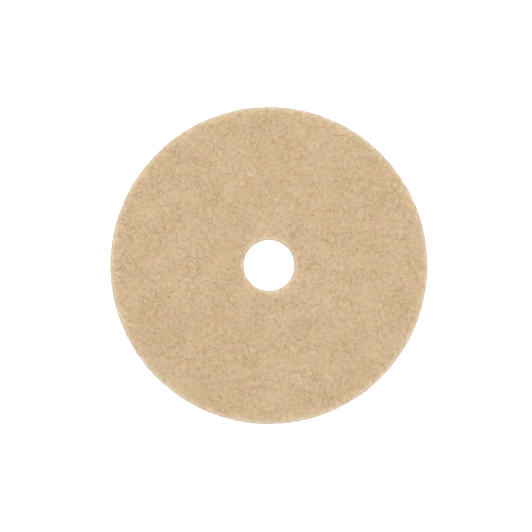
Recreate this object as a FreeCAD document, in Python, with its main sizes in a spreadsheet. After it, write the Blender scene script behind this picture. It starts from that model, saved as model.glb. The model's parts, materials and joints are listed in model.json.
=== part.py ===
"""Natural-fibre floor polishing pad, as a parametric FreeCAD document.

The pad is a thick ring of nonwoven fibre with a round hole in the middle for a machine's locking hub.
It is laid up from flat webs of fibre, sprayed with binder, cured into one block and cut out with a die.
Each web is its own body here: a face web on each side, which does the polishing, and the laps between them.
The die pinches the faces down towards both cut edges, and the rim stands out a little at mid-height.

Millimetres. +Z is the spin axis, and the origin is the hole's centre on the plane of the lower face.
"""

import FreeCAD, Part
import os

import Sketcher

# The driving dimensions: one row of the sheet each, with its alias and its value.
DIMENSIONS = (
    ("pad_diameter", 508.0),
    ("pad_thickness", 25.4),
    ("bore_diameter", 82.55),
    ("face_web_thickness", 3.2),
    ("core_lap_count", 6),
    ("rim_bulge", 1.0),
    ("rim_pinch_width", 14.0),
    ("rim_pinch_drop", 2.2),
    ("bore_pinch_width", 9.0),
    ("bore_pinch_drop", 1.4),
    ("lap_edge_radius", 0.6),
)

# What the webs' sizes are worked out from, as expressions on the sheet.
BORE_RADIUS = "dims.bore_diameter / 2"
CORE_LAP_THICKNESS = "(dims.pad_thickness - 2 * dims.face_web_thickness) / dims.core_lap_count"

# Sketcher's own names for the origin, the sketch's X axis, and a line's two ends.
ORIGIN = (-1, 1)
X_AXIS = -1
START = 1
END = 2


def make_sheet(doc):
    """The spreadsheet that holds the driving dimensions."""
    sheet = doc.addObject("Spreadsheet::Sheet", "dims")
    for row, (alias, value) in enumerate(DIMENSIONS, start=1):
        sheet.set(f"A{row}", alias)
        sheet.set(f"B{row}", str(value))
        sheet.setAlias(f"B{row}", alias)
    doc.recompute()
    return sheet


def lap_height(laps_below):
    """How high the plane between two webs is, over a face web and that many core laps."""
    return f"dims.face_web_thickness + {laps_below} * {CORE_LAP_THICKNESS}"


def rim_radius(height):
    """The rim's radius at a height: full at mid-height, and less by the bulge at the faces."""
    half = "dims.pad_diameter / 2"
    return f"{half} - dims.rim_bulge * (2 * ({height}) / dims.pad_thickness - 1) ^ 2"


def origin_plane(body, role):
    """One of a body's own origin planes."""
    return next(feature for feature in body.Origin.OriginFeatures if feature.Role == role)


def new_section(body):
    """An empty sketch on the body's XZ plane, for half a ring's section: X is the radius, Y the height."""
    section = body.newObject("Sketcher::SketchObject", body.Name + "_section")
    section.AttachmentSupport = (origin_plane(body, "XZ_Plane"), [""])
    section.MapMode = "FlatFace"
    return section


def add_lines(section, corners):
    """Joins the corners, given as rough (radius, height) pairs, by lines. Returns the lines' numbers."""
    lines = []
    for start, end in zip(corners, corners[1:]):
        edge = Part.LineSegment(FreeCAD.Vector(*start, 0), FreeCAD.Vector(*end, 0))
        lines.append(section.addGeometry(edge, False))
    return lines


def join(section, *curves):
    """Makes each curve end where the next one starts, and closes the loop."""
    for curve, following in zip(curves, curves[1:] + curves[:1]):
        section.addConstraint(Sketcher.Constraint("Coincident", curve, END, following, START))


def bind(section, kind, first, second, size, expression):
    """Sets the distance between two points and binds it to an expression."""
    constraint = Sketcher.Constraint(kind, *first, *second, size)
    number = section.addConstraint(constraint)
    section.setExpression(f"Constraints[{number}]", expression)


def revolve(body, section):
    """Turns a section about the vertical axis into a ring."""
    ring = body.newObject("PartDesign::Revolution", body.Name + "_ring")
    ring.Profile = section
    ring.ReferenceAxis = (section, ["V_Axis"])
    ring.Angle = 360
    section.Visibility = False
    return ring


def rim_edges(shape, smallest_radius):
    """The names of the circles at or beyond a radius."""
    return [
        f"Edge{number}"
        for number, edge in enumerate(shape.Edges, start=1)
        if isinstance(edge.Curve, Part.Circle) and edge.Curve.Radius > smallest_radius
    ]


def round_edges(body, ring, edges):
    """Rounds a web's cut edges, which leaves a shallow groove between it and the next web."""
    rounding = body.newObject("PartDesign::Fillet", body.Name + "_edges")
    rounding.Base = (ring, edges)
    rounding.setExpression("Radius", "dims.lap_edge_radius")
    body.Tip = rounding


def make_core_lap(doc, sheet, number):
    """One flat lap of the core, between the face webs. Laps are numbered from the lowest, from 1."""
    body = doc.addObject("PartDesign::Body", f"core_lap_{number}")
    low = lap_height(number - 1)
    high = lap_height(number)
    body.setExpression("Placement.Base.z", low)

    bore = sheet.bore_diameter / 2
    rim = sheet.pad_diameter / 2
    thickness = (sheet.pad_thickness - 2 * sheet.face_web_thickness) / sheet.core_lap_count
    section = new_section(body)
    corners = [(bore, 0), (rim, 0), (rim, thickness), (bore, thickness), (bore, 0)]
    bottom, outside, top, inside = add_lines(section, corners)
    join(section, bottom, outside, top, inside)
    section.addConstraint(Sketcher.Constraint("PointOnObject", bottom, START, X_AXIS))
    section.addConstraint(Sketcher.Constraint("Horizontal", bottom))
    section.addConstraint(Sketcher.Constraint("Horizontal", top))
    section.addConstraint(Sketcher.Constraint("Vertical", inside))
    bind(section, "DistanceX", ORIGIN, (bottom, START), bore, BORE_RADIUS)
    bind(section, "DistanceX", ORIGIN, (bottom, END), rim, rim_radius(low))
    bind(section, "DistanceX", ORIGIN, (top, START), rim, rim_radius(high))
    bind(section, "DistanceY", (inside, END), (inside, START), thickness, CORE_LAP_THICKNESS)

    ring = revolve(body, section)
    doc.recompute()
    round_edges(body, ring, rim_edges(ring.Shape, rim - sheet.rim_pinch_width))
    return body


def make_face_web(doc, sheet, name, upper):
    """The upper or lower face web: flat, and curving down to both cut edges, where the die pinched it.

    Both are drawn as the lower one, whose face is on the X axis, and the upper one is turned over.
    """
    body = doc.addObject("PartDesign::Body", name)
    if upper:
        body.Placement.Rotation = FreeCAD.Rotation(FreeCAD.Vector(1, 0, 0), 180)
        body.setExpression("Placement.Base.z", "dims.pad_thickness")

    bore = sheet.bore_diameter / 2
    rim = sheet.pad_diameter / 2 - sheet.rim_bulge
    thickness = sheet.face_web_thickness
    flat_start = bore + sheet.bore_pinch_width
    flat_end = rim - sheet.rim_pinch_width
    rim_drop, bore_drop = sheet.rim_pinch_drop, sheet.bore_pinch_drop
    section = new_section(body)
    corners = [(rim, rim_drop), (rim, thickness), (bore, thickness), (bore, bore_drop)]
    outside, back, inside = add_lines(section, corners)
    (face,) = add_lines(section, [(flat_start, 0), (flat_end, 0)])
    bore_pinch = add_pinch(section, flat_start, -sheet.bore_pinch_width, bore_drop)
    rim_pinch = add_pinch(section, flat_end, sheet.rim_pinch_width, rim_drop)
    join_face(section, inside, bore_pinch, face, rim_pinch, outside)
    section.addConstraint(Sketcher.Constraint("Coincident", outside, END, back, START))
    section.addConstraint(Sketcher.Constraint("Coincident", back, END, inside, START))
    section.addConstraint(Sketcher.Constraint("PointOnObject", face, START, X_AXIS))
    section.addConstraint(Sketcher.Constraint("Horizontal", face))
    section.addConstraint(Sketcher.Constraint("Horizontal", back))
    section.addConstraint(Sketcher.Constraint("Vertical", inside))
    rim_at_face = "dims.pad_diameter / 2 - dims.rim_bulge"
    bind(section, "DistanceX", ORIGIN, (back, END), bore, BORE_RADIUS)
    bind(section, "DistanceX", ORIGIN, (back, START), rim, rim_radius("dims.face_web_thickness"))
    bind(section, "DistanceX", ORIGIN, (outside, START), rim, rim_radius("dims.rim_pinch_drop"))
    bind(section, "DistanceX", ORIGIN, (face, START), flat_start, f"{BORE_RADIUS} + dims.bore_pinch_width")
    bind(section, "DistanceX", ORIGIN, (face, END), flat_end, f"{rim_at_face} - dims.rim_pinch_width")
    bind(section, "DistanceY", ORIGIN, (back, START), thickness, "dims.face_web_thickness")
    bind(section, "DistanceY", ORIGIN, (outside, START), rim_drop, "dims.rim_pinch_drop")
    bind(section, "DistanceY", ORIGIN, (inside, END), bore_drop, "dims.bore_pinch_drop")

    revolve(body, section)
    doc.recompute()
    return body


def add_pinch(section, flat_edge, width, drop):
    """A rough arc that leaves the flat face level at flat_edge and rises by drop over width."""
    radius = (width**2 + drop**2) / (2 * drop)
    start = FreeCAD.Vector(flat_edge, 0, 0)
    middle_width = width / 2
    middle = FreeCAD.Vector(flat_edge + middle_width, radius - (radius**2 - middle_width**2) ** 0.5, 0)
    end = FreeCAD.Vector(flat_edge + width, drop, 0)
    return section.addGeometry(Part.Arc(start, middle, end), False)


def join_face(section, inside, bore_pinch, face, rim_pinch, outside):
    """Joins the two pinched arcs to the flat face, level with it, and to the walls."""
    # Sketcher runs an arc anticlockwise, so each arc's rim-side end is its END.
    section.addConstraint(Sketcher.Constraint("Coincident", inside, END, bore_pinch, START))
    section.addConstraint(Sketcher.Constraint("Tangent", bore_pinch, END, face, START))
    section.addConstraint(Sketcher.Constraint("Tangent", face, END, rim_pinch, START))
    section.addConstraint(Sketcher.Constraint("Coincident", rim_pinch, END, outside, START))


def check(doc, bodies):
    """Stops with a message if any object failed, or if a body isn't one valid solid."""
    for item in doc.Objects:
        bad = {"Invalid", "Error"} & set(item.State)
        if bad:
            raise RuntimeError(f"{item.Label} is {', '.join(sorted(bad))}")
    for body in bodies:
        shape = body.Shape
        if shape.isNull() or not shape.isValid() or len(shape.Solids) != 1:
            raise RuntimeError(f"{body.Label} isn't one valid solid")


def main():
    doc = FreeCAD.newDocument("polishing_pad")
    sheet = make_sheet(doc)
    bodies = [make_face_web(doc, sheet, "bottom_face_web", upper=False)]
    bodies += [make_core_lap(doc, sheet, number) for number in range(1, int(sheet.core_lap_count) + 1)]
    bodies.append(make_face_web(doc, sheet, "top_face_web", upper=True))
    doc.recompute()
    check(doc, bodies)

    os.makedirs("parts", exist_ok=True)
    for body in bodies:
        body.Shape.exportStep(f"parts/{body.Label}.step")
        box = body.Shape.optimalBoundingBox(False)
        size = f"{box.XLength:.3f} across, z {box.ZMin:.3f} to {box.ZMax:.3f}"
        print(f"{body.Label}: {size}, {body.Shape.Volume:.0f} mm3")


main()
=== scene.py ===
"""Looks of a round, natural-fibre floor polishing pad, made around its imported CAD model.

The pad is eight webs of tangled fibre, bonded face to face and cut out by a die. Each plain CAD web is
replaced by a lumpy mat, smaller by the nap that loose fibres fill. Crimped fibres and longer dark hairs lie
on both faces, round the rim and down the bore. Short cut ends stand out of the cut walls, and loose ends lift
off the upper face. Sizes are in metres, with +Z along the spin axis.
"""

import json
import math
from collections import namedtuple

import bpy
import numpy as np
from mathutils import Matrix, Vector


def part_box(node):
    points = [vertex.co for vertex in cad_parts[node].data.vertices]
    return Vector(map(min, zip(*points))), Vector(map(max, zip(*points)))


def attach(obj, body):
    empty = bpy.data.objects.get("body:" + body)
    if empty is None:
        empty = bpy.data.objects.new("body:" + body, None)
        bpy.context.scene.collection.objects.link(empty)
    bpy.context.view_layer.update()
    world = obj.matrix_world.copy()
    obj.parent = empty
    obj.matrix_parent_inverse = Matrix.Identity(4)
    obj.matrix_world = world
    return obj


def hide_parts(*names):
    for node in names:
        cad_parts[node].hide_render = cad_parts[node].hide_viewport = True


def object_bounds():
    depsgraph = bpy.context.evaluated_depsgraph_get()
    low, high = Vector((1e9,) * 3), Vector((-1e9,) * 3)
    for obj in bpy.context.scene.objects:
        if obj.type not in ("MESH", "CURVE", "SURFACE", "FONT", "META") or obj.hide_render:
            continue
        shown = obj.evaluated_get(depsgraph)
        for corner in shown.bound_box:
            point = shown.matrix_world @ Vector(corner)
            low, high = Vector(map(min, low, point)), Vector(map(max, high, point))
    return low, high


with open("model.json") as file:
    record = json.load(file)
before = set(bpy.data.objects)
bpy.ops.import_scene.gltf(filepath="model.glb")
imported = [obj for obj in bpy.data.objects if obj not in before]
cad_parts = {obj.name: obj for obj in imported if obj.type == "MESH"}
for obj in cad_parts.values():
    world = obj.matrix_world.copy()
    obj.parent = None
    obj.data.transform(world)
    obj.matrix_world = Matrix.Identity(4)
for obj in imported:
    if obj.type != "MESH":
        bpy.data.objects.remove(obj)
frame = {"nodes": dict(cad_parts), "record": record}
cad_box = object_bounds()

# The pad, from the frame.
BODY = "root"
WEBS = sorted(frame["nodes"], key=lambda node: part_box(node)[0].z)
LEVELS = [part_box(node)[0].z for node in WEBS] + [cad_box[1].z]
FACES = (LEVELS[0], LEVELS[-1])
THICKNESS = cad_box[1].z
MIDDLE = THICKNESS / 2
RIM = max(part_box(node)[1].x for node in WEBS)
BORE_MOUNT = next(m for m in frame["record"]["mounts"] if m["name"] == "centre_bore")
BORE = BORE_MOUNT["dims"]["r_mm"] / 1000

# What the die did to the edges.
RIM_BULGE = 0.0010
RIM_PINCH_WIDTH = 0.0140
RIM_PINCH_DROP = 0.0022
BORE_PINCH_WIDTH = 0.0090
BORE_PINCH_DROP = 0.0014

# The mats. They stop short of the CAD's surface by the nap, which the fibres fill.
NAP = 0.00035
RIM_NAP = 0.00085
BORE_NAP = 0.00050
LUMP = 0.00012
RAGGED = 0.00022
JOINT_WAVE = 0.00060

# The groove that a web's rounded edges leave on a cut wall, and how open it is from place to place.
EDGE_ROUNDING = 0.00060
OPENNESS = 0.35
OPENNESS_SPREAD = 0.40
LEAST_OPEN = 0.05
MOST_OPEN = 1.2

# How finely the mats are divided.
AROUND = 720
FACE_RINGS = 96
HIDDEN_RINGS = 3
WALL_ROWS = 6

# The fibres: how many of each, and how many points each path has.
SECTORS = 6
FACE_HAIRS = 2700
FACE_FIBRES = 12300
FACE_ENDS = 9000
RIM_HAIRS = 420
RIM_FIBRES = 3600
RIM_ENDS = 16000
BORE_HAIRS = 60
BORE_FIBRES = 560
BORE_ENDS = 1500
HAIR_POINTS = 19
FIBRE_POINTS = 10
FINE_STEPS = 97
SIDES = 3
TOP_SEED, BOTTOM_SEED, RIM_SEED, BORE_SEED = 21, 22, 23, 25

# How a fibre bends, how it weaves over and under its neighbours, and how its ends taper.
BEND_LENGTH = 0.03
CRIMPS = ((0.005, 0.011), (0.011, 0.024))
CRIMP_SPREAD = 0.35
LOWEST_LAYER = -0.00010
WEAVE = 0.00012
WEAVE_LENGTHS = (0.006, 0.016)
END_DIP = 0.00035
END_TAPER = 0.45

# Where fibres lie: their gaps to the edges, how far under the nap's top they stay, the shares that crowd at
# the edges, and the spread of their places round the axis.
BORE_GAP = 0.0006
MIDDLE_GAP = 0.001
WALL_GAP = 0.0004
FACE_COVER = 0.00018
WALL_COVER = 0.00010
RIM_CROWD = 0.055
BORE_CROWD = 0.010
CROWD_DEPTH = 0.005
ANGLE_SPREAD = 0.003

# Fibres on the walls: their lengths, as a share of a kind's own, and the spread of their headings.
RIM_LENGTH_SHARE = 0.7
BORE_LENGTH_SHARE = 0.6
WALL_HEADING = 0.60

# Short ends: how far they stand out, as a gamma distribution, how thick they are, how much they lean, and
# where their points are, from the root inside the mat at less than 0 to the tip at 1.
END_SHAPE = 2.0
RIM_END_SCALE = 0.00064
BORE_END_SCALE = 0.00028
LOOSE_END_SCALE = 0.00040
LONGEST_END = 0.0040
END_RADIUS_SHARE = 0.75
END_START = 0.6
END_LEAN = 0.35
LOOSE_TURN = 0.4
LOOSE_RUNS = (0.8, 2.6)
LOOSE_BORE_GAP = 0.001
LOOSE_RIM_GAP = 0.002
CUT_POINTS = np.array([-0.8, 0.35, 0.75, 1.0])
LOOSE_POINTS = np.array([-0.6, 0.2, 0.7, 1.0])

# Tones go from 0, the darkest hair, to 1, the palest cut end. A patch shifts them, loose ends are no darker
# than LOOSE_TONE, and only cut ends are paler than FIBRE_TONE: that extra paleness is painted light shining
# through their thin tips.
PATCH_TONE = 0.08
LOOSE_TONE = 0.6
FIBRE_TONE = 0.90

# Kinds of hair and fibre: their share, the ranges of their length and thickness, how much they bend and
# crimp, and the range of their tone.
Kind = namedtuple("Kind", "share shortest longest thinnest thickest bend crimp darkest lightest")
HAIRS = (
    Kind(0.32, 0.016, 0.040, 0.00026, 0.00040, 0.7, 0.18, 0.00, 0.15),
    Kind(0.68, 0.012, 0.036, 0.00024, 0.00037, 0.9, 0.25, 0.15, 0.38),
)
FIBRES = (
    Kind(0.56, 0.010, 0.034, 0.00021, 0.00033, 1.2, 0.50, 0.26, 0.62),
    Kind(0.44, 0.010, 0.032, 0.00019, 0.00032, 1.5, 0.60, 0.62, 0.90),
)

GOLDEN_ANGLE = math.pi * (3 - math.sqrt(5))

# Directions that no fibre runs along. A loose end may go straight up, so NEARLY_UP leans.
UP = np.array([0, 0, 1])
NEARLY_UP = np.array([0.1, 0.2, 0.97])

# The picture: how much it shows across, where the camera stands, and the floor.
FRAME_WIDTH = 0.8510
CAMERA_HEIGHT = 2.60
CAMERA_LEAN = 0.026
PICTURE_MIDDLE = (-0.0050, -0.0012)
SENSOR = 36.0
FLOOR_REACH = 30.0
FLOOR_GREYS = (0.90, 0.92)
FLOOR_GLOW = 0.50


def rough_field(seed, shortest, longest, count=28):
    """A smooth random function of a point, of spread 1, whose lumps are from shortest to longest across."""
    rng = np.random.default_rng(seed)
    direction = rng.normal(size=(count, 3))
    direction /= np.linalg.norm(direction, axis=1, keepdims=True)
    numbers = direction * (math.tau / rng.uniform(shortest, longest, (count, 1)))
    phases = rng.uniform(0, math.tau, count)

    def value(points):
        total = np.zeros(points.shape[:-1])
        for number, phase in zip(numbers, phases):
            total += np.cos(points @ number + phase)
        return total * math.sqrt(2 / count)

    return value


# Lumps of the faces, waves of the joints, patches of tone and roughness of the cut walls.
lumps = rough_field(11, 0.005, 0.022)
joint_waves = rough_field(12, 0.018, 0.060)
patches = rough_field(13, 0.014, 0.070)
ragged = rough_field(14, 0.004, 0.014)


def spots(x, y, z):
    """Points from three arrays that broadcast together."""
    return np.stack(np.broadcast_arrays(x, y, z), axis=-1)


def pinch(reach):
    """How far the die pressed a face in, at a distance from the axis."""
    rim = np.clip((reach - RIM + RIM_PINCH_WIDTH) / RIM_PINCH_WIDTH, 0, 1)
    bore = np.clip((BORE + BORE_PINCH_WIDTH - reach) / BORE_PINCH_WIDTH, 0, 1)
    return RIM_PINCH_DROP * rim**2 + BORE_PINCH_DROP * bore**2


def level(rest, x, y):
    """Height of a joint between webs, or of a face, that is at height rest where nothing presses it."""
    offset = (rest - MIDDLE) * (1 - pinch(np.hypot(x, y)) / MIDDLE)
    if rest in FACES:
        return MIDDLE + offset - math.copysign(NAP, rest - MIDDLE) + LUMP * lumps(spots(x, y, rest))
    return MIDDLE + offset + JOINT_WAVE * joint_waves(spots(x, y, rest))


def wall_nap(outward):
    """How far a wall's mat stops short: the rim's where outward is 1, and the bore's where it is -1."""
    return RIM_NAP if outward > 0 else BORE_NAP


def wall(outward, angle, height):
    """Distance from the axis to the rim's mat, where outward is 1, or to the bore's, where it is -1."""
    plain = RIM - RIM_BULGE * (height / MIDDLE - 1) ** 2 if outward > 0 else BORE
    rough = RAGGED * ragged(spots(RIM * np.cos(angle), RIM * np.sin(angle), height))
    return plain - outward * wall_nap(outward) + rough


def add_mesh(name, points, faces, material):
    """A smooth-shaded mesh object. faces is a list of arrays, each with one face to a row."""
    mesh = bpy.data.meshes.new(name)
    mesh.vertices.add(len(points))
    mesh.vertices.foreach_set("co", points.astype(np.float32).ravel())
    sizes = np.concatenate([np.full(len(rows), rows.shape[1]) for rows in faces])
    corners = np.concatenate([rows.ravel() for rows in faces])
    mesh.loops.add(len(corners))
    mesh.loops.foreach_set("vertex_index", corners.astype(np.int32))
    mesh.polygons.add(len(sizes))
    starts = np.concatenate([[0], np.cumsum(sizes)[:-1]])
    mesh.polygons.foreach_set("loop_start", starts.astype(np.int32))
    mesh.polygons.foreach_set("use_smooth", np.ones(len(sizes), bool))
    mesh.update(calc_edges=True)
    mesh.materials.append(material)
    piece = bpy.data.objects.new(name, mesh)
    bpy.context.scene.collection.objects.link(piece)
    return piece


def add_map(piece, places):
    """Gives a piece the layout of its maps. places has two numbers for each corner of each face."""
    layer = piece.data.uv_layers.new(name="OFBake")
    layer.data.foreach_set("uv", places.astype(np.float32).ravel())


# ---- Mats ----------------------------------------------------------------------------------------


def wall_column(outward, low, high, angle):
    """Distances from the axis and heights down a cut wall, from a web's upper edge to its lower one."""
    reach = RIM if outward > 0 else BORE
    x, y = reach * np.cos(angle), reach * np.sin(angle)
    share = np.linspace(1, 0, WALL_ROWS + 1)[:, None]
    bottom, top = level(low, x, y), level(high, x, y)
    height = bottom + share * (top - bottom)
    edge = np.where(share > 0.5, high, low)
    openness = OPENNESS + OPENNESS_SPREAD * joint_waves(spots(x, y, edge + THICKNESS))
    openness = np.clip(openness, LEAST_OPEN, MOST_OPEN)
    rounding = EDGE_ROUNDING * openness * np.abs(2 * share - 1) ** 4
    return wall(outward, angle, height) - outward * rounding, height


def side_rings(side):
    """How many rings of faces one side of a web has: fine on the pad's faces, and few where it is hidden."""
    return FACE_RINGS if side in FACES else HIDDEN_RINGS


def web_points(low, high):
    """The points of a web as rows of rings: down the rim, in along the lower side, up the bore and out."""
    angle = np.linspace(0, math.tau, AROUND, endpoint=False)
    rim, rim_height = wall_column(1, low, high, angle)
    bore, bore_height = wall_column(-1, low, high, angle)

    def across(side, start, end):
        share = np.linspace(0, 1, side_rings(side) + 1)[1:-1, None]
        reach = start + share * (end - start)
        return reach, level(side, reach * np.cos(angle), reach * np.sin(angle))

    lower, lower_height = across(low, rim[-1], bore[-1])
    upper, upper_height = across(high, bore[0], rim[0])
    reach = np.concatenate([rim, lower, bore[::-1], upper])
    height = np.concatenate([rim_height, lower_height, bore_height[::-1], upper_height])
    return spots(reach * np.cos(angle), reach * np.sin(angle), np.maximum(height, 0))


# How a web's corners lie on its maps. The two walls are cut into strips, in cells along the bottom.
# Each side is a disc, (across, up, radius): a shown side fills the map, and a hidden one sits in its bore.
Layout = namedtuple("Layout", "cells_across cell_height rim_strips bore_strips")
FACE_LAYOUT = Layout(2, 0.0175, 6, 2)
CORE_LAYOUT = Layout(1, 0.043, 16, 4)
SHOWN_DISC = (0.5, 0.535, 0.455)
BORE_DISC = (0.5, 0.535, 0.065)
CORE_DISCS = ((0.25, 0.93, 0.06), (0.75, 0.93, 0.06))
STRIP_SIDE_MARGIN = 0.01
STRIP_END_MARGIN = 0.12
TILE_MARGIN = 0.06


def inset(share, margin):
    """A share of the way across a cell, drawn in by a margin at both sides."""
    return margin + (1 - 2 * margin) * share


def strip_places(layout, first_cell, strips, column, share):
    """Map places on a wall that is cut into strips. column counts round the wall, and share goes up it."""
    strip = column[:, :1] * strips // AROUND
    along = column * strips / AROUND - strip
    cell = first_cell + strip
    across = (cell % layout.cells_across + inset(along, STRIP_SIDE_MARGIN)) / layout.cells_across
    up = (cell // layout.cells_across + inset(share, STRIP_END_MARGIN)) * layout.cell_height
    return np.stack([across, up], axis=-1)


def disc_places(disc, spot):
    """Map places on a disc, of points given in rim radii."""
    return np.array(disc[:2]) + disc[2] * spot


def web_places(points, low, high):
    """Map places of the corners of a web's faces, in the order in which make_web lists them."""
    sizes = (WALL_ROWS, side_rings(low), WALL_ROWS, side_rings(high))
    section = np.repeat(np.repeat(np.arange(4), sizes), AROUND)
    band = np.repeat(np.concatenate([np.arange(size) for size in sizes]), AROUND)
    row = np.repeat(np.arange(sum(sizes)), AROUND)[:, None] + np.array([0, 1, 1, 0])
    column = np.tile(np.arange(AROUND), sum(sizes))[:, None] + np.array([0, 0, 1, 1])
    share = (band[:, None] + np.array([0, 1, 1, 0])) / WALL_ROWS
    spot = points[row % len(points), column % AROUND, :2] / RIM

    shown = [side in FACES for side in (low, high)]
    layout = FACE_LAYOUT if any(shown) else CORE_LAYOUT
    discs = [SHOWN_DISC if show else BORE_DISC for show in shown] if any(shown) else CORE_DISCS
    rim = strip_places(layout, 0, layout.rim_strips, column, share)
    bore = strip_places(layout, layout.rim_strips, layout.bore_strips, column, share)
    lower = disc_places(discs[0], spot * np.array([-1, 1]))
    upper = disc_places(discs[1], spot)
    return np.choose(section[:, None, None], [rim, lower, bore, upper])


def make_web(node, low, high, material):
    """The mat that stands for one CAD web, between two levels."""
    points = web_points(low, high)
    rows, around = points.shape[:2]
    corner = np.arange(rows * around).reshape(rows, around)
    down, on = np.roll(corner, -1, axis=0), np.roll(corner, -1, axis=1)
    across = np.roll(down, -1, axis=1)
    quads = np.stack([corner, down, across, on], axis=-1).reshape(-1, 4)
    mat = add_mesh(node + "_mat", points.reshape(-1, 3), [quads], material)
    add_map(mat, web_places(points, low, high))
    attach(mat, BODY)
    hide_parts(node)


# ---- Fibres --------------------------------------------------------------------------------------


class Batch:
    """Fibres of some kinds, one at each spot, each with its own length, radius, tone and way of bending."""

    def __init__(self, rng, kinds, middles):
        self.rng = rng
        kind = rng.choice(len(kinds), len(middles), p=[kind.share for kind in kinds])
        draw = Kind(*np.array(kinds)[kind].T)
        chance = rng.uniform(size=(3, len(middles)))
        self.length = draw.shortest + (draw.longest - draw.shortest) * chance[0]
        self.radius = (draw.thinnest + (draw.thickest - draw.thinnest) * chance[1]) / 2
        tone = draw.darkest + (draw.lightest - draw.darkest) * chance[2]
        self.tone = np.clip(tone + PATCH_TONE * patches(middles), 0, FIBRE_TONE)
        self.bend = draw.bend
        self.crimp = draw.crimp
        self.middles = middles
        self.points = HAIR_POINTS if kinds is HAIRS else FIBRE_POINTS

    def run(self, heading):
        """Plane paths that set off at heading from their middles, as offsets along and across."""
        rng = self.rng
        along = np.linspace(-0.5, 0.5, FINE_STEPS) * self.length[:, None]
        count = len(along)
        bend = rng.normal(0, 1, (count, 1)) * self.bend[:, None]
        turning = heading[:, None] + bend * along / BEND_LENGTH
        for shortest, longest in CRIMPS:
            wave = rng.uniform(shortest, longest, (count, 1))
            swing = self.crimp[:, None] * rng.normal(1, CRIMP_SPREAD, (count, 1))
            turning += swing * np.sin(math.tau * along / wave + rng.uniform(0, math.tau, (count, 1)))
        step = np.diff(along, axis=1)
        mean = (turning[:, 1:] + turning[:, :-1]) / 2
        start = np.zeros((count, 1))
        x = np.concatenate([start, np.cumsum(np.cos(mean) * step, axis=1)], axis=1)
        y = np.concatenate([start, np.cumsum(np.sin(mean) * step, axis=1)], axis=1)
        middle = FINE_STEPS // 2
        return x - x[:, middle : middle + 1], y - y[:, middle : middle + 1]

    def trimmed(self, inside, *paths):
        """The paths, cut where inside is false on either side of their middles, at even steps."""
        middle = inside.shape[1] // 2
        after = np.argmin(inside[:, middle:], axis=1)
        before = np.argmin(inside[:, middle::-1], axis=1)
        last = np.where(after == 0, inside.shape[1] - 1, middle + after - 1)
        first = np.where(before == 0, 0, middle - before + 1)
        at = first[:, None] + (last - first)[:, None] * np.linspace(0, 1, self.points)
        low = np.minimum(at.astype(int), inside.shape[1] - 2)
        row = np.arange(len(inside))[:, None]
        return [path[row, low] + (at - low) * (path[row, low + 1] - path[row, low]) for path in paths]

    def lift(self, nap):
        """Heights of the fibres above their mat: each in a layer of its own, weaving, its ends tucked in."""
        rng = self.rng
        count = len(self.length)
        share = np.linspace(-1, 1, self.points)
        layer = rng.uniform(LOWEST_LAYER, nap, (count, 1))
        turns = self.length[:, None] / rng.uniform(*WEAVE_LENGTHS, (count, 1))
        weave = WEAVE * np.sin(math.pi * turns * share + rng.uniform(0, math.tau, (count, 1)))
        return layer + weave - END_DIP * share**8

    def fill(self, paths, up):
        """Makes a tube along each path, and keeps it above the floor. up is a direction along no path."""
        paths[:, :, 2] = np.maximum(paths[:, :, 2], self.radius[:, None])
        ahead = np.gradient(paths, axis=1)
        ahead /= np.linalg.norm(ahead, axis=2, keepdims=True)
        side = np.cross(up, ahead)
        side /= np.linalg.norm(side, axis=2, keepdims=True)
        over = np.cross(ahead, side)
        taper = 1 - END_TAPER * np.abs(np.linspace(-1, 1, paths.shape[1])) ** 6
        radius = self.radius[:, None, None, None] * taper[None, :, None, None]
        turn = math.tau * np.arange(SIDES)[:, None] / SIDES + math.pi / 2
        around = np.cos(turn) * side[:, :, None] + np.sin(turn) * over[:, :, None]
        self.tubes = paths[:, :, None] + radius * around
        return self


def face_fibres(rng, kinds, count):
    """Fibres on a face that looks up, at the top of the pad, spread evenly but closer at its edges."""
    inner, outer = BORE + BORE_GAP, RIM - RIM_BULGE - NAP
    first, last = inner + MIDDLE_GAP, outer - MIDDLE_GAP
    order = np.arange(count)
    share = (order + rng.uniform(0, 1, count)) / count
    reach = np.sqrt(first**2 + share * (last**2 - first**2))
    moved = rng.uniform(size=count)
    depth = rng.exponential(CROWD_DEPTH, count)
    reach = np.where(moved < RIM_CROWD, last - depth, reach)
    reach = np.where(moved > 1 - BORE_CROWD, first + depth, reach)
    angle = GOLDEN_ANGLE * order + rng.normal(0, ANGLE_SPREAD, count)
    x, y = reach * np.cos(angle), reach * np.sin(angle)
    batch = Batch(rng, kinds, spots(x, y, THICKNESS))
    along, across = batch.run(rng.uniform(0, math.tau, count))
    x, y = x[:, None] + along, y[:, None] + across
    reach = np.hypot(x, y)
    x, y = batch.trimmed((reach > inner) & (reach < outer), x, y)
    height = level(THICKNESS, x, y) + batch.lift(NAP - FACE_COVER)
    return batch.fill(spots(x, y, height), UP)


def turned_over(batch):
    """The same fibres on the lower face."""
    batch.tubes = batch.tubes[:, :, ::-1] * np.array([1, -1, -1]) + np.array([0, 0, THICKNESS])
    batch.tubes[..., 2] = np.maximum(batch.tubes[..., 2], 0)
    batch.middles = batch.middles * np.array([1, -1, 1])
    return batch


def wall_drop(outward):
    """How far below a face a cut wall starts."""
    return NAP + (RIM_PINCH_DROP if outward > 0 else BORE_PINCH_DROP)


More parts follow.
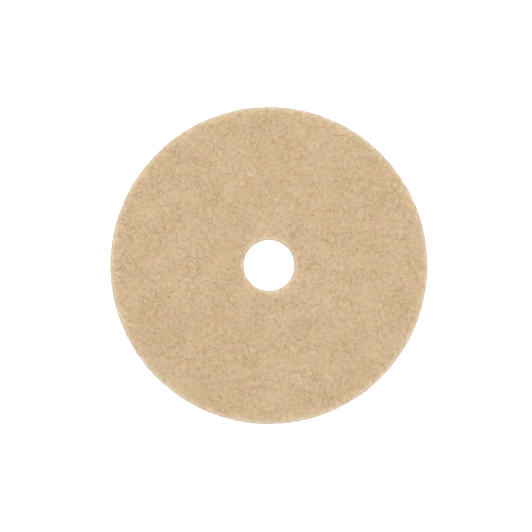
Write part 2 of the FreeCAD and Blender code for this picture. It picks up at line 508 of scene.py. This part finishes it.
def wall_fibres(rng, kinds, count, outward):
    """Fibres that lie along the rim, or along the bore."""
    radius = RIM if outward > 0 else BORE
    low, high = wall_drop(outward), THICKNESS - wall_drop(outward)
    angle = rng.uniform(-math.pi, math.pi, count)
    height = rng.uniform(low + WALL_GAP, high - WALL_GAP, count)
    batch = Batch(rng, kinds, spots(radius * np.cos(angle), radius * np.sin(angle), height))
    batch.length *= RIM_LENGTH_SHARE if outward > 0 else BORE_LENGTH_SHARE
    along, across = batch.run(rng.normal(0, WALL_HEADING, count))
    around, height = angle[:, None] * radius + along, height[:, None] + across
    around, height = batch.trimmed((height > low) & (height < high), around, height)
    angle = around / radius
    reach = wall(outward, angle, height) + outward * batch.lift(wall_nap(outward) - WALL_COVER)
    out = spots(np.cos(angle), np.sin(angle), 0)
    return batch.fill(spots(reach * np.cos(angle), reach * np.sin(angle), height), out)


def cut_ends(rng, count, outward):
    """Short ends of cut fibres that stand out of the rim, or into the bore, leaning every way."""
    radius = RIM if outward > 0 else BORE
    drop = wall_drop(outward)
    angle = rng.uniform(0, math.tau, count)
    height = rng.uniform(drop, THICKNESS - drop, count)
    batch = Batch(rng, FIBRES, spots(radius * np.cos(angle), radius * np.sin(angle), height))
    batch.radius *= END_RADIUS_SHARE
    # Cut ends take the palest tones: painted light shining through their thin tips.
    batch.tone = rng.uniform(FIBRE_TONE, 1.0, count)
    scale = RIM_END_SCALE if outward > 0 else BORE_END_SCALE
    out = np.minimum(rng.gamma(END_SHAPE, scale, count), LONGEST_END)[:, None]
    out += END_START * wall_nap(outward)
    lean, curl = rng.normal(0, END_LEAN, (2, 2, count, 1)) * out
    aside = lean * CUT_POINTS + curl * CUT_POINTS * np.abs(CUT_POINTS)
    reach = wall(outward, angle, height)[:, None] + outward * out * CUT_POINTS
    angle = angle[:, None] + aside[0] / radius
    height = height[:, None] + aside[1]
    return batch.fill(spots(reach * np.cos(angle), reach * np.sin(angle), height), UP)


def loose_ends(rng, count):
    """Short ends that lift off the upper face, leaning every way."""
    nearest, farthest = BORE + LOOSE_BORE_GAP, RIM - LOOSE_RIM_GAP
    reach = np.sqrt(rng.uniform(nearest**2, farthest**2, count))
    angle = rng.uniform(0, math.tau, count)
    x, y = reach * np.cos(angle), reach * np.sin(angle)
    batch = Batch(rng, FIBRES, spots(x, y, THICKNESS))
    batch.radius *= END_RADIUS_SHARE
    batch.tone = rng.uniform(LOOSE_TONE, FIBRE_TONE, count)
    rise = np.minimum(rng.gamma(END_SHAPE, LOOSE_END_SCALE, count), LONGEST_END)[:, None]
    turn = rng.uniform(0, math.tau, (count, 1))
    heading = turn + rng.normal(0, LOOSE_TURN, (count, 1)) * LOOSE_POINTS
    along = rng.uniform(*LOOSE_RUNS, (count, 1)) * rise * LOOSE_POINTS
    x, y = x[:, None] + along * np.cos(heading), y[:, None] + along * np.sin(heading)
    height = level(THICKNESS, x, y) + rise * LOOSE_POINTS * np.abs(LOOSE_POINTS) ** 0.5
    return batch.fill(spots(x, y, height), NEARLY_UP)


def tube_faces(count, steps, first):
    """The faces of count tubes whose points are numbered from first."""
    corner = first + np.arange(count * steps * SIDES).reshape(count, steps, SIDES)
    near, far = corner[:, :-1], corner[:, 1:]
    quads = np.stack([near, np.roll(near, -1, axis=2), np.roll(far, -1, axis=2), far], axis=-1)
    return [quads.reshape(-1, 4), np.concatenate([corner[:, 0, ::-1], corner[:, -1]])]


def tube_places(tile, tiles, steps):
    """Map places of the corners of tube_faces(), with a small tile of the map to each tube."""
    columns = math.ceil(math.sqrt(tiles / 4))
    lines = math.ceil(tiles / columns)
    left, bottom = (tile % columns)[:, None, None, None], (tile // columns)[:, None, None, None]
    step = np.arange(steps - 1)[None, :, None, None]
    side = np.arange(SIDES)[None, None, :, None]
    along = (step + np.array([0, 0, 1, 1])) / (steps - 1) + 0 * side
    around = (side + np.array([0, 1, 1, 0])) / SIDES + 0 * step
    across = (left + inset(along, TILE_MARGIN)) / columns
    up = (bottom + inset(around, TILE_MARGIN)) / lines
    places = [np.stack([across, up], axis=-1).reshape(-1, 2)]
    for end in (0, 1):
        across = (left[:, 0, 0] + inset(end, TILE_MARGIN)) / columns + np.zeros((1, SIDES))
        up = (bottom[:, 0, 0] + inset(np.arange(SIDES) / SIDES, TILE_MARGIN)) / lines
        places.append(np.stack([across, up], axis=-1).reshape(-1, 2))
    return places


def add_fibres(name, batches, chosen, material):
    """A piece made of the chosen fibres of some batches, with each fibre's tone as an attribute."""
    points, faces, tones, places = [], [], [], []
    tiles = sum(mask.sum() for mask in chosen)
    first, tile = 0, 0
    for batch, mask in zip(batches, chosen):
        tubes = batch.tubes[mask]
        count, steps = tubes.shape[:2]
        points.append(tubes.reshape(-1, 3))
        faces += tube_faces(count, steps, first)
        tones.append(np.repeat(batch.tone[mask], steps * SIDES))
        places += tube_places(tile + np.arange(count), tiles, steps)
        first += count * steps * SIDES
        tile += count
    piece = add_mesh(name, np.concatenate(points), faces, material)
    attribute = piece.data.attributes.new("tone", "FLOAT", "POINT")
    attribute.data.foreach_set("value", np.concatenate(tones).astype(np.float32))
    add_map(piece, np.concatenate(places))
    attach(piece, BODY)


def add_in_sectors(name, batches, material):
    """The fibres in one piece for each sector of the pad, so that no piece is too heavy."""
    turns = [np.arctan2(batch.middles[:, 1], batch.middles[:, 0]) / math.tau % 1 for batch in batches]
    sectors = [np.minimum((turn * SECTORS).astype(int), SECTORS - 1) for turn in turns]
    for number in range(SECTORS):
        chosen = [sector == number for sector in sectors]
        add_fibres(f"{name}_{number + 1}", batches, chosen, material)


# ---- Materials -----------------------------------------------------------------------------------


class Nodes:
    """Short ways to add and join the shader nodes of a material."""

    def __init__(self, name):
        self.material = bpy.data.materials.new(name)
        self.material.use_nodes = True
        self.tree = self.material.node_tree
        self.shader = self.tree.nodes["Principled BSDF"]
        self.place = self.add("TexCoord").outputs["Object"]

    def add(self, kind, settings=(), **inputs):
        """A node. An input's name is its own, with _ for a space, or i and its number."""
        node = self.tree.nodes.new("ShaderNode" + kind)
        for name, value in dict(settings).items():
            setattr(node, name, value)
        for name, value in inputs.items():
            numbered = name[1:].isdigit()
            self.set(node.inputs[int(name[1:]) if numbered else name.replace("_", " ")], value)
        return node

    def set(self, socket, value):
        """Links another node's output to a socket, or gives the socket a value."""
        if isinstance(value, bpy.types.NodeSocket):
            self.tree.links.new(value, socket)
        else:
            socket.default_value = value

    def noise(self, scale, detail=2.0, roughness=0.5, place=None):
        """A noise in the object's own coordinates, or at another place."""
        place = place or self.place
        return self.add("TexNoise", Vector=place, Scale=scale, Detail=detail, Roughness=roughness)

    def spread(self, value, low, high, to_low=0.0, to_high=1.0):
        """A value moved from one range to another, and kept in it."""
        node = self.add("MapRange", i0=value, i1=low, i2=high, i3=to_low, i4=to_high)
        return node.outputs["Result"]

    def mix(self, how, factor, first, second):
        """Two colours mixed. Sockets go by number: each name is on one for every kind of data."""
        node = self.add("Mix", {"data_type": "RGBA", "blend_type": how})
        for socket, value in zip((0, 6, 7), (factor, first, second)):
            self.set(node.inputs[socket], value)
        return node.outputs[2]

    def maths(self, how, first, second=0.0):
        return self.add("Math", {"operation": how}, i0=first, i1=second).outputs["Value"]

    def scale_and_move(self, vector, size, offset):
        """A vector or a colour, multiplied by size, with offset added."""
        node = self.add("VectorMath", {"operation": "MULTIPLY_ADD"}, i0=vector, i1=size, i2=offset)
        return node.outputs["Vector"]

    def ramp(self, value, *stops):
        """The colour for a value from 0 to 1, between stops, each of a position and a colour."""
        node = self.add("ValToRGB", Fac=value)
        elements = node.color_ramp.elements
        while len(elements) < len(stops):
            elements.new(0.5)
        for element, (position, colour) in zip(elements, stops):
            element.position = position
            element.color = (*colour, 1)
        return node.outputs["Color"]


# Colours, from the darkest to the palest, and factors that multiply them.
DARK_HAIR = (0.262, 0.146, 0.052)
BROWN_HAIR = (0.403, 0.257, 0.120)
# Painted shade: the dark of the gaps between the mats' fine fibres.
PAINTED_GAP_SHADE = (0.440, 0.293, 0.152)
TAN = (0.600, 0.437, 0.262)
PALE = (0.648, 0.488, 0.320)
CREAM = (0.745, 0.600, 0.430)
# Painted light: the glow of light shining through thin cut ends.
PAINTED_CUT_GLOW = (0.850, 0.790, 0.680)
# Factors of the painted edge light: none, and the lighter, yellower glow of light shining through the thin
# fibre at the edges.
NO_EDGE_LIGHT = (1, 1, 1, 1)
PAINTED_EDGE_LIGHT = (1.17, 1.22, 1.24, 1)
# Factors for darker and lighter patches. In the finer clumps the darker one is partly painted shade between
# fibres.
DARK_PATCH_AND_SHADE = (0.955, 0.922, 0.896, 1)
LIGHT_PATCH = (1.045, 1.078, 1.104, 1)

# The colour of each tone of fibre. The palest, for cut ends, is painted light shining through them.
TONES = ((0.0, DARK_HAIR), (0.22, BROWN_HAIR), (0.50, TAN), (0.72, PALE), (0.90, CREAM), (1.0, PAINTED_CUT_GLOW))

# The bands of painted light beside the edges, on the faces and on the walls, and how it fades and covers
# there. EDGE is the wide, lighter one, and CUT the narrow, pale one. Both stand for light shining through the
# thin fibre at the edges, and EDGE also offsets the shade on the pinched slopes.
EDGE_BAND = 0.021
EDGE_FADE = 1.6
EDGE_WALL_BAND = 0.0080
CUT_BAND = 0.007
CUT_FADE = 1.8
CUT_WALL_BAND = 0.0050
CUT_COVER = 0.72
FULL_BAND = 0.001
BORE_SHARE = 0.78
WALL_SHARE = 0.20

# Unevenness of the blend: blotches, and finer clumps whose darker spots are partly painted shade between
# fibres, as a noise's scale and half its range, and the drift in hue.
BLOTCHES_AND_SHADE = ((16, 0.33), (120, 0.135))
HUE_SCALE = 42
HUE_DRIFT = (0.12, 0.05, 0.16)

# The mats' finer fibres: the turns of the layers, and how long and how curled the fibres are.
STRAND_TURNS = (0.20, 0.95, 1.75, 2.55)
STRAND_SCALE = 90
STRAND_LENGTH = 28
CURL_SCALE = 80
CURL = 0.012


def edge_mask(nodes, band, fade, wall_band):
    """1 at the faces' edges, fading to 0 over a band of the face, and to WALL_SHARE over one of the wall."""
    axes = nodes.add("SeparateXYZ", Vector=nodes.place)
    squares = [nodes.maths("MULTIPLY", axes.outputs[k], axes.outputs[k]) for k in (0, 1)]
    reach = nodes.maths("SQRT", nodes.maths("ADD", *squares))
    rim = nodes.spread(reach, RIM - band, RIM - FULL_BAND)
    bore = nodes.spread(reach, BORE + band, BORE + FULL_BAND, 0.0, BORE_SHARE)
    on_face = nodes.maths("POWER", nodes.maths("MAXIMUM", rim, bore), fade)
    height = nodes.maths("ABSOLUTE", nodes.maths("SUBTRACT", axes.outputs[2], MIDDLE))
    edge = MIDDLE - RIM_PINCH_DROP
    on_wall = nodes.spread(height, edge - wall_band, edge, WALL_SHARE, 1.0)
    return nodes.maths("MULTIPLY", on_face, on_wall)


def painted_edge_light(nodes, colour):
    """Painted light near the edges: the colour lighter and yellower in a wide band, and pale at the cut
    itself, for light shining through the thin fibre there.
    """
    near = edge_mask(nodes, EDGE_BAND, EDGE_FADE, EDGE_WALL_BAND)
    colour = nodes.mix("MULTIPLY", 1.0, colour, nodes.mix("MIX", near, NO_EDGE_LIGHT, PAINTED_EDGE_LIGHT))
    # Painted light at the cut: the lit-through colour of cut ends, laid over the narrow band.
    cut = edge_mask(nodes, CUT_BAND, CUT_FADE, CUT_WALL_BAND)
    return nodes.mix("MIX", nodes.maths("MULTIPLY", cut, CUT_COVER), colour, (*PAINTED_CUT_GLOW, 1))


def patchy(nodes, colour):
    """The colour, with the blotches and drift in hue that an uneven blend leaves, and finer clumps, partly
    tone and partly painted shade between fibres.
    """
    for scale, half_range in BLOTCHES_AND_SHADE:
        noise = nodes.noise(scale, roughness=0.8).outputs["Fac"]
        blotch = nodes.spread(noise, 0.5 - half_range, 0.5 + half_range)
        colour = nodes.mix("MULTIPLY", 1.0, colour, nodes.mix("MIX", blotch, DARK_PATCH_AND_SHADE, LIGHT_PATCH))
    drift = Vector(HUE_DRIFT)
    noise = nodes.noise(HUE_SCALE).outputs["Color"]
    hue = nodes.scale_and_move(noise, drift, Vector((1, 1, 1)) - drift / 2)
    return nodes.mix("MULTIPLY", 1.0, colour, hue)


def fibre_material():
    """The loose fibres and hairs, each of one tone."""
    nodes = Nodes("pad_fibre")
    tone = nodes.add("Attribute", {"attribute_name": "tone"}).outputs["Fac"]
    colour = patchy(nodes, nodes.ramp(tone, *TONES))
    nodes.set(nodes.shader.inputs["Base Color"], painted_edge_light(nodes, colour))
    nodes.set(nodes.shader.inputs["Roughness"], nodes.spread(tone, 0.0, 1.0, 0.55, 0.85))
    nodes.shader.inputs["Specular IOR Level"].default_value = 0.3
    return nodes.material


def web_material(name):
    """The mat under the loose fibres: finer fibres that curl every way, with painted shade in the gaps
    between them.
    """
    nodes = Nodes(name)
    noise = nodes.noise(CURL_SCALE).outputs["Color"]
    curl = nodes.scale_and_move(noise, (CURL,) * 3, nodes.place)
    stretch = (1, 1 / STRAND_LENGTH, 1 / STRAND_LENGTH)
    kind = {"vector_type": "TEXTURE"}
    cover = 0.0
    for turn in STRAND_TURNS:
        run = nodes.add("Mapping", kind, Vector=curl, Rotation=(0, 0, turn), Scale=stretch)
        strand = nodes.noise(STRAND_SCALE, detail=1.0, place=run.outputs["Vector"]).outputs["Fac"]
        cover = nodes.maths("MAXIMUM", cover, nodes.spread(strand, 0.42, 0.66))
    # Where no fine fibre covers the mat, its colour is painted shade.
    colour = patchy(nodes, nodes.ramp(cover, (0.0, PAINTED_GAP_SHADE), (0.55, TAN), (1.0, PALE)))
    nodes.set(nodes.shader.inputs["Base Color"], painted_edge_light(nodes, colour))
    nodes.set(nodes.shader.inputs["Roughness"], nodes.spread(cover, 0.0, 1.0, 0.95, 0.75))
    bump = nodes.add("Bump", Height=cover, Strength=0.5, Distance=0.0003)
    nodes.set(nodes.shader.inputs["Normal"], bump.outputs["Normal"])
    nodes.shader.inputs["Specular IOR Level"].default_value = 0.2
    return nodes.material


def floor_material():
    """A matt white floor that glows a little, so that it is as white as a lit studio sweep."""
    nodes = Nodes("studio_floor")
    grain = nodes.spread(nodes.noise(3, 1.0).outputs["Fac"], 0.3, 0.7, *FLOOR_GREYS)
    colour = nodes.add("CombineColor", i0=grain, i1=grain, i2=grain).outputs[0]
    nodes.set(nodes.shader.inputs["Base Color"], colour)
    nodes.shader.inputs["Roughness"].default_value = 0.9
    nodes.shader.inputs["Emission Color"].default_value = (1, 1, 1, 1)
    nodes.shader.inputs["Emission Strength"].default_value = FLOOR_GLOW
    return nodes.material


# ---- The studio ----------------------------------------------------------------------------------


def place_object(name, data, location, facing):
    """Adds a camera or a lamp that looks against facing, with +Y as near the top of its view as can be."""
    holder = bpy.data.objects.new(name, data)
    back = facing.normalized()
    side = Vector((0, 1, 0)).cross(back).normalized()
    holder.location = location
    holder.rotation_mode = "QUATERNION"
    holder.rotation_quaternion = Matrix((side, back.cross(side), back)).transposed().to_quaternion()
    bpy.context.scene.collection.objects.link(holder)
    return holder


def make_camera():
    """Above the pad, but for a slight lean to the lower left that shows a sliver of the bore's wall."""
    camera = bpy.data.cameras.new("camera")
    camera.sensor_width = SENSOR
    camera.lens = SENSOR * CAMERA_HEIGHT / FRAME_WIDTH
    back = Vector((-CAMERA_LEAN, -CAMERA_LEAN, CAMERA_HEIGHT))
    place = Vector((*PICTURE_MIDDLE, THICKNESS)) + back
    bpy.context.scene.camera = place_object("camera", camera, place, back)


def add_softbox(name, place, size, power):
    """A square area lamp that faces the pad."""
    lamp = bpy.data.lights.new(name, "AREA")
    lamp.size = size
    lamp.energy = power
    place_object(name, lamp, Vector(place), Vector(place))


def make_sky():
    """Soft light from all round, white at the horizon and dimmer overhead."""
    world = bpy.data.worlds.new("studio")
    world.use_nodes = True
    tree = world.node_tree
    axes = tree.nodes.new("ShaderNodeSeparateXYZ")
    fall = tree.nodes.new("ShaderNodeMapRange")
    tree.links.new(tree.nodes.new("ShaderNodeTexCoord").outputs["Generated"], axes.inputs[0])
    tree.links.new(axes.outputs["Z"], fall.inputs["Value"])
    for name, value in (("From Min", 0.12), ("From Max", 0.30), ("To Min", 1.0), ("To Max", 0.52)):
        fall.inputs[name].default_value = value
    background = tree.nodes["Background"]
    background.inputs["Color"].default_value = (1, 1, 1, 1)
    tree.links.new(fall.outputs["Result"], background.inputs["Strength"])
    bpy.context.scene.world = world


def make_studio():
    """The floor, a key and a fill light nearly overhead, and the sky."""
    corners = FLOOR_REACH * np.array([[-1, -1, 0], [1, -1, 0], [1, 1, 0], [-1, 1, 0]])
    floor = add_mesh("floor", corners, [np.array([[0, 1, 2, 3]])], floor_material())
    add_softbox("key_light", place=(-0.15, 0.38, 2.6), size=1.6, power=38.3)
    add_softbox("fill_light", place=(0.5, -0.4, 2.4), size=1.8, power=9)
    make_sky()
    bpy.context.scene.view_settings.view_transform = "Standard"


def lay(rng, how, hairs, fibres, *where):
    """A batch of hairs and a batch of fibres, each laid by the function how."""
    return [how(rng, HAIRS, hairs, *where), how(rng, FIBRES, fibres, *where)]


def make_pad():
    """The eight mats, and the fibres on their faces and cut walls."""
    fibre = fibre_material()
    face_mat = web_material("face_web")
    core_mat = web_material("core_web")
    for node, low, high in zip(WEBS, LEVELS, LEVELS[1:]):
        if low in FACES or high in FACES:
            make_web(node, low, high, face_mat)
        else:
            make_web(node, low, high, core_mat)

    rng = np.random.default_rng(TOP_SEED)
    top = lay(rng, face_fibres, FACE_HAIRS, FACE_FIBRES) + [loose_ends(rng, FACE_ENDS)]
    add_in_sectors("top_fibres", top, fibre)
    rng = np.random.default_rng(BOTTOM_SEED)
    bottom = lay(rng, face_fibres, FACE_HAIRS, FACE_FIBRES)
    add_in_sectors("bottom_fibres", [turned_over(batch) for batch in bottom], fibre)

    rng = np.random.default_rng(RIM_SEED)
    rim = lay(rng, wall_fibres, RIM_HAIRS, RIM_FIBRES, 1) + [cut_ends(rng, RIM_ENDS, 1)]
    add_in_sectors("rim_fibres", rim, fibre)
    rng = np.random.default_rng(BORE_SEED)
    bore = lay(rng, wall_fibres, BORE_HAIRS, BORE_FIBRES, -1) + [cut_ends(rng, BORE_ENDS, -1)]
    every = [np.ones(len(batch.tone), bool) for batch in bore]
    add_fibres("bore_fibres", bore, every, fibre)


make_camera()
make_pad()
make_studio()
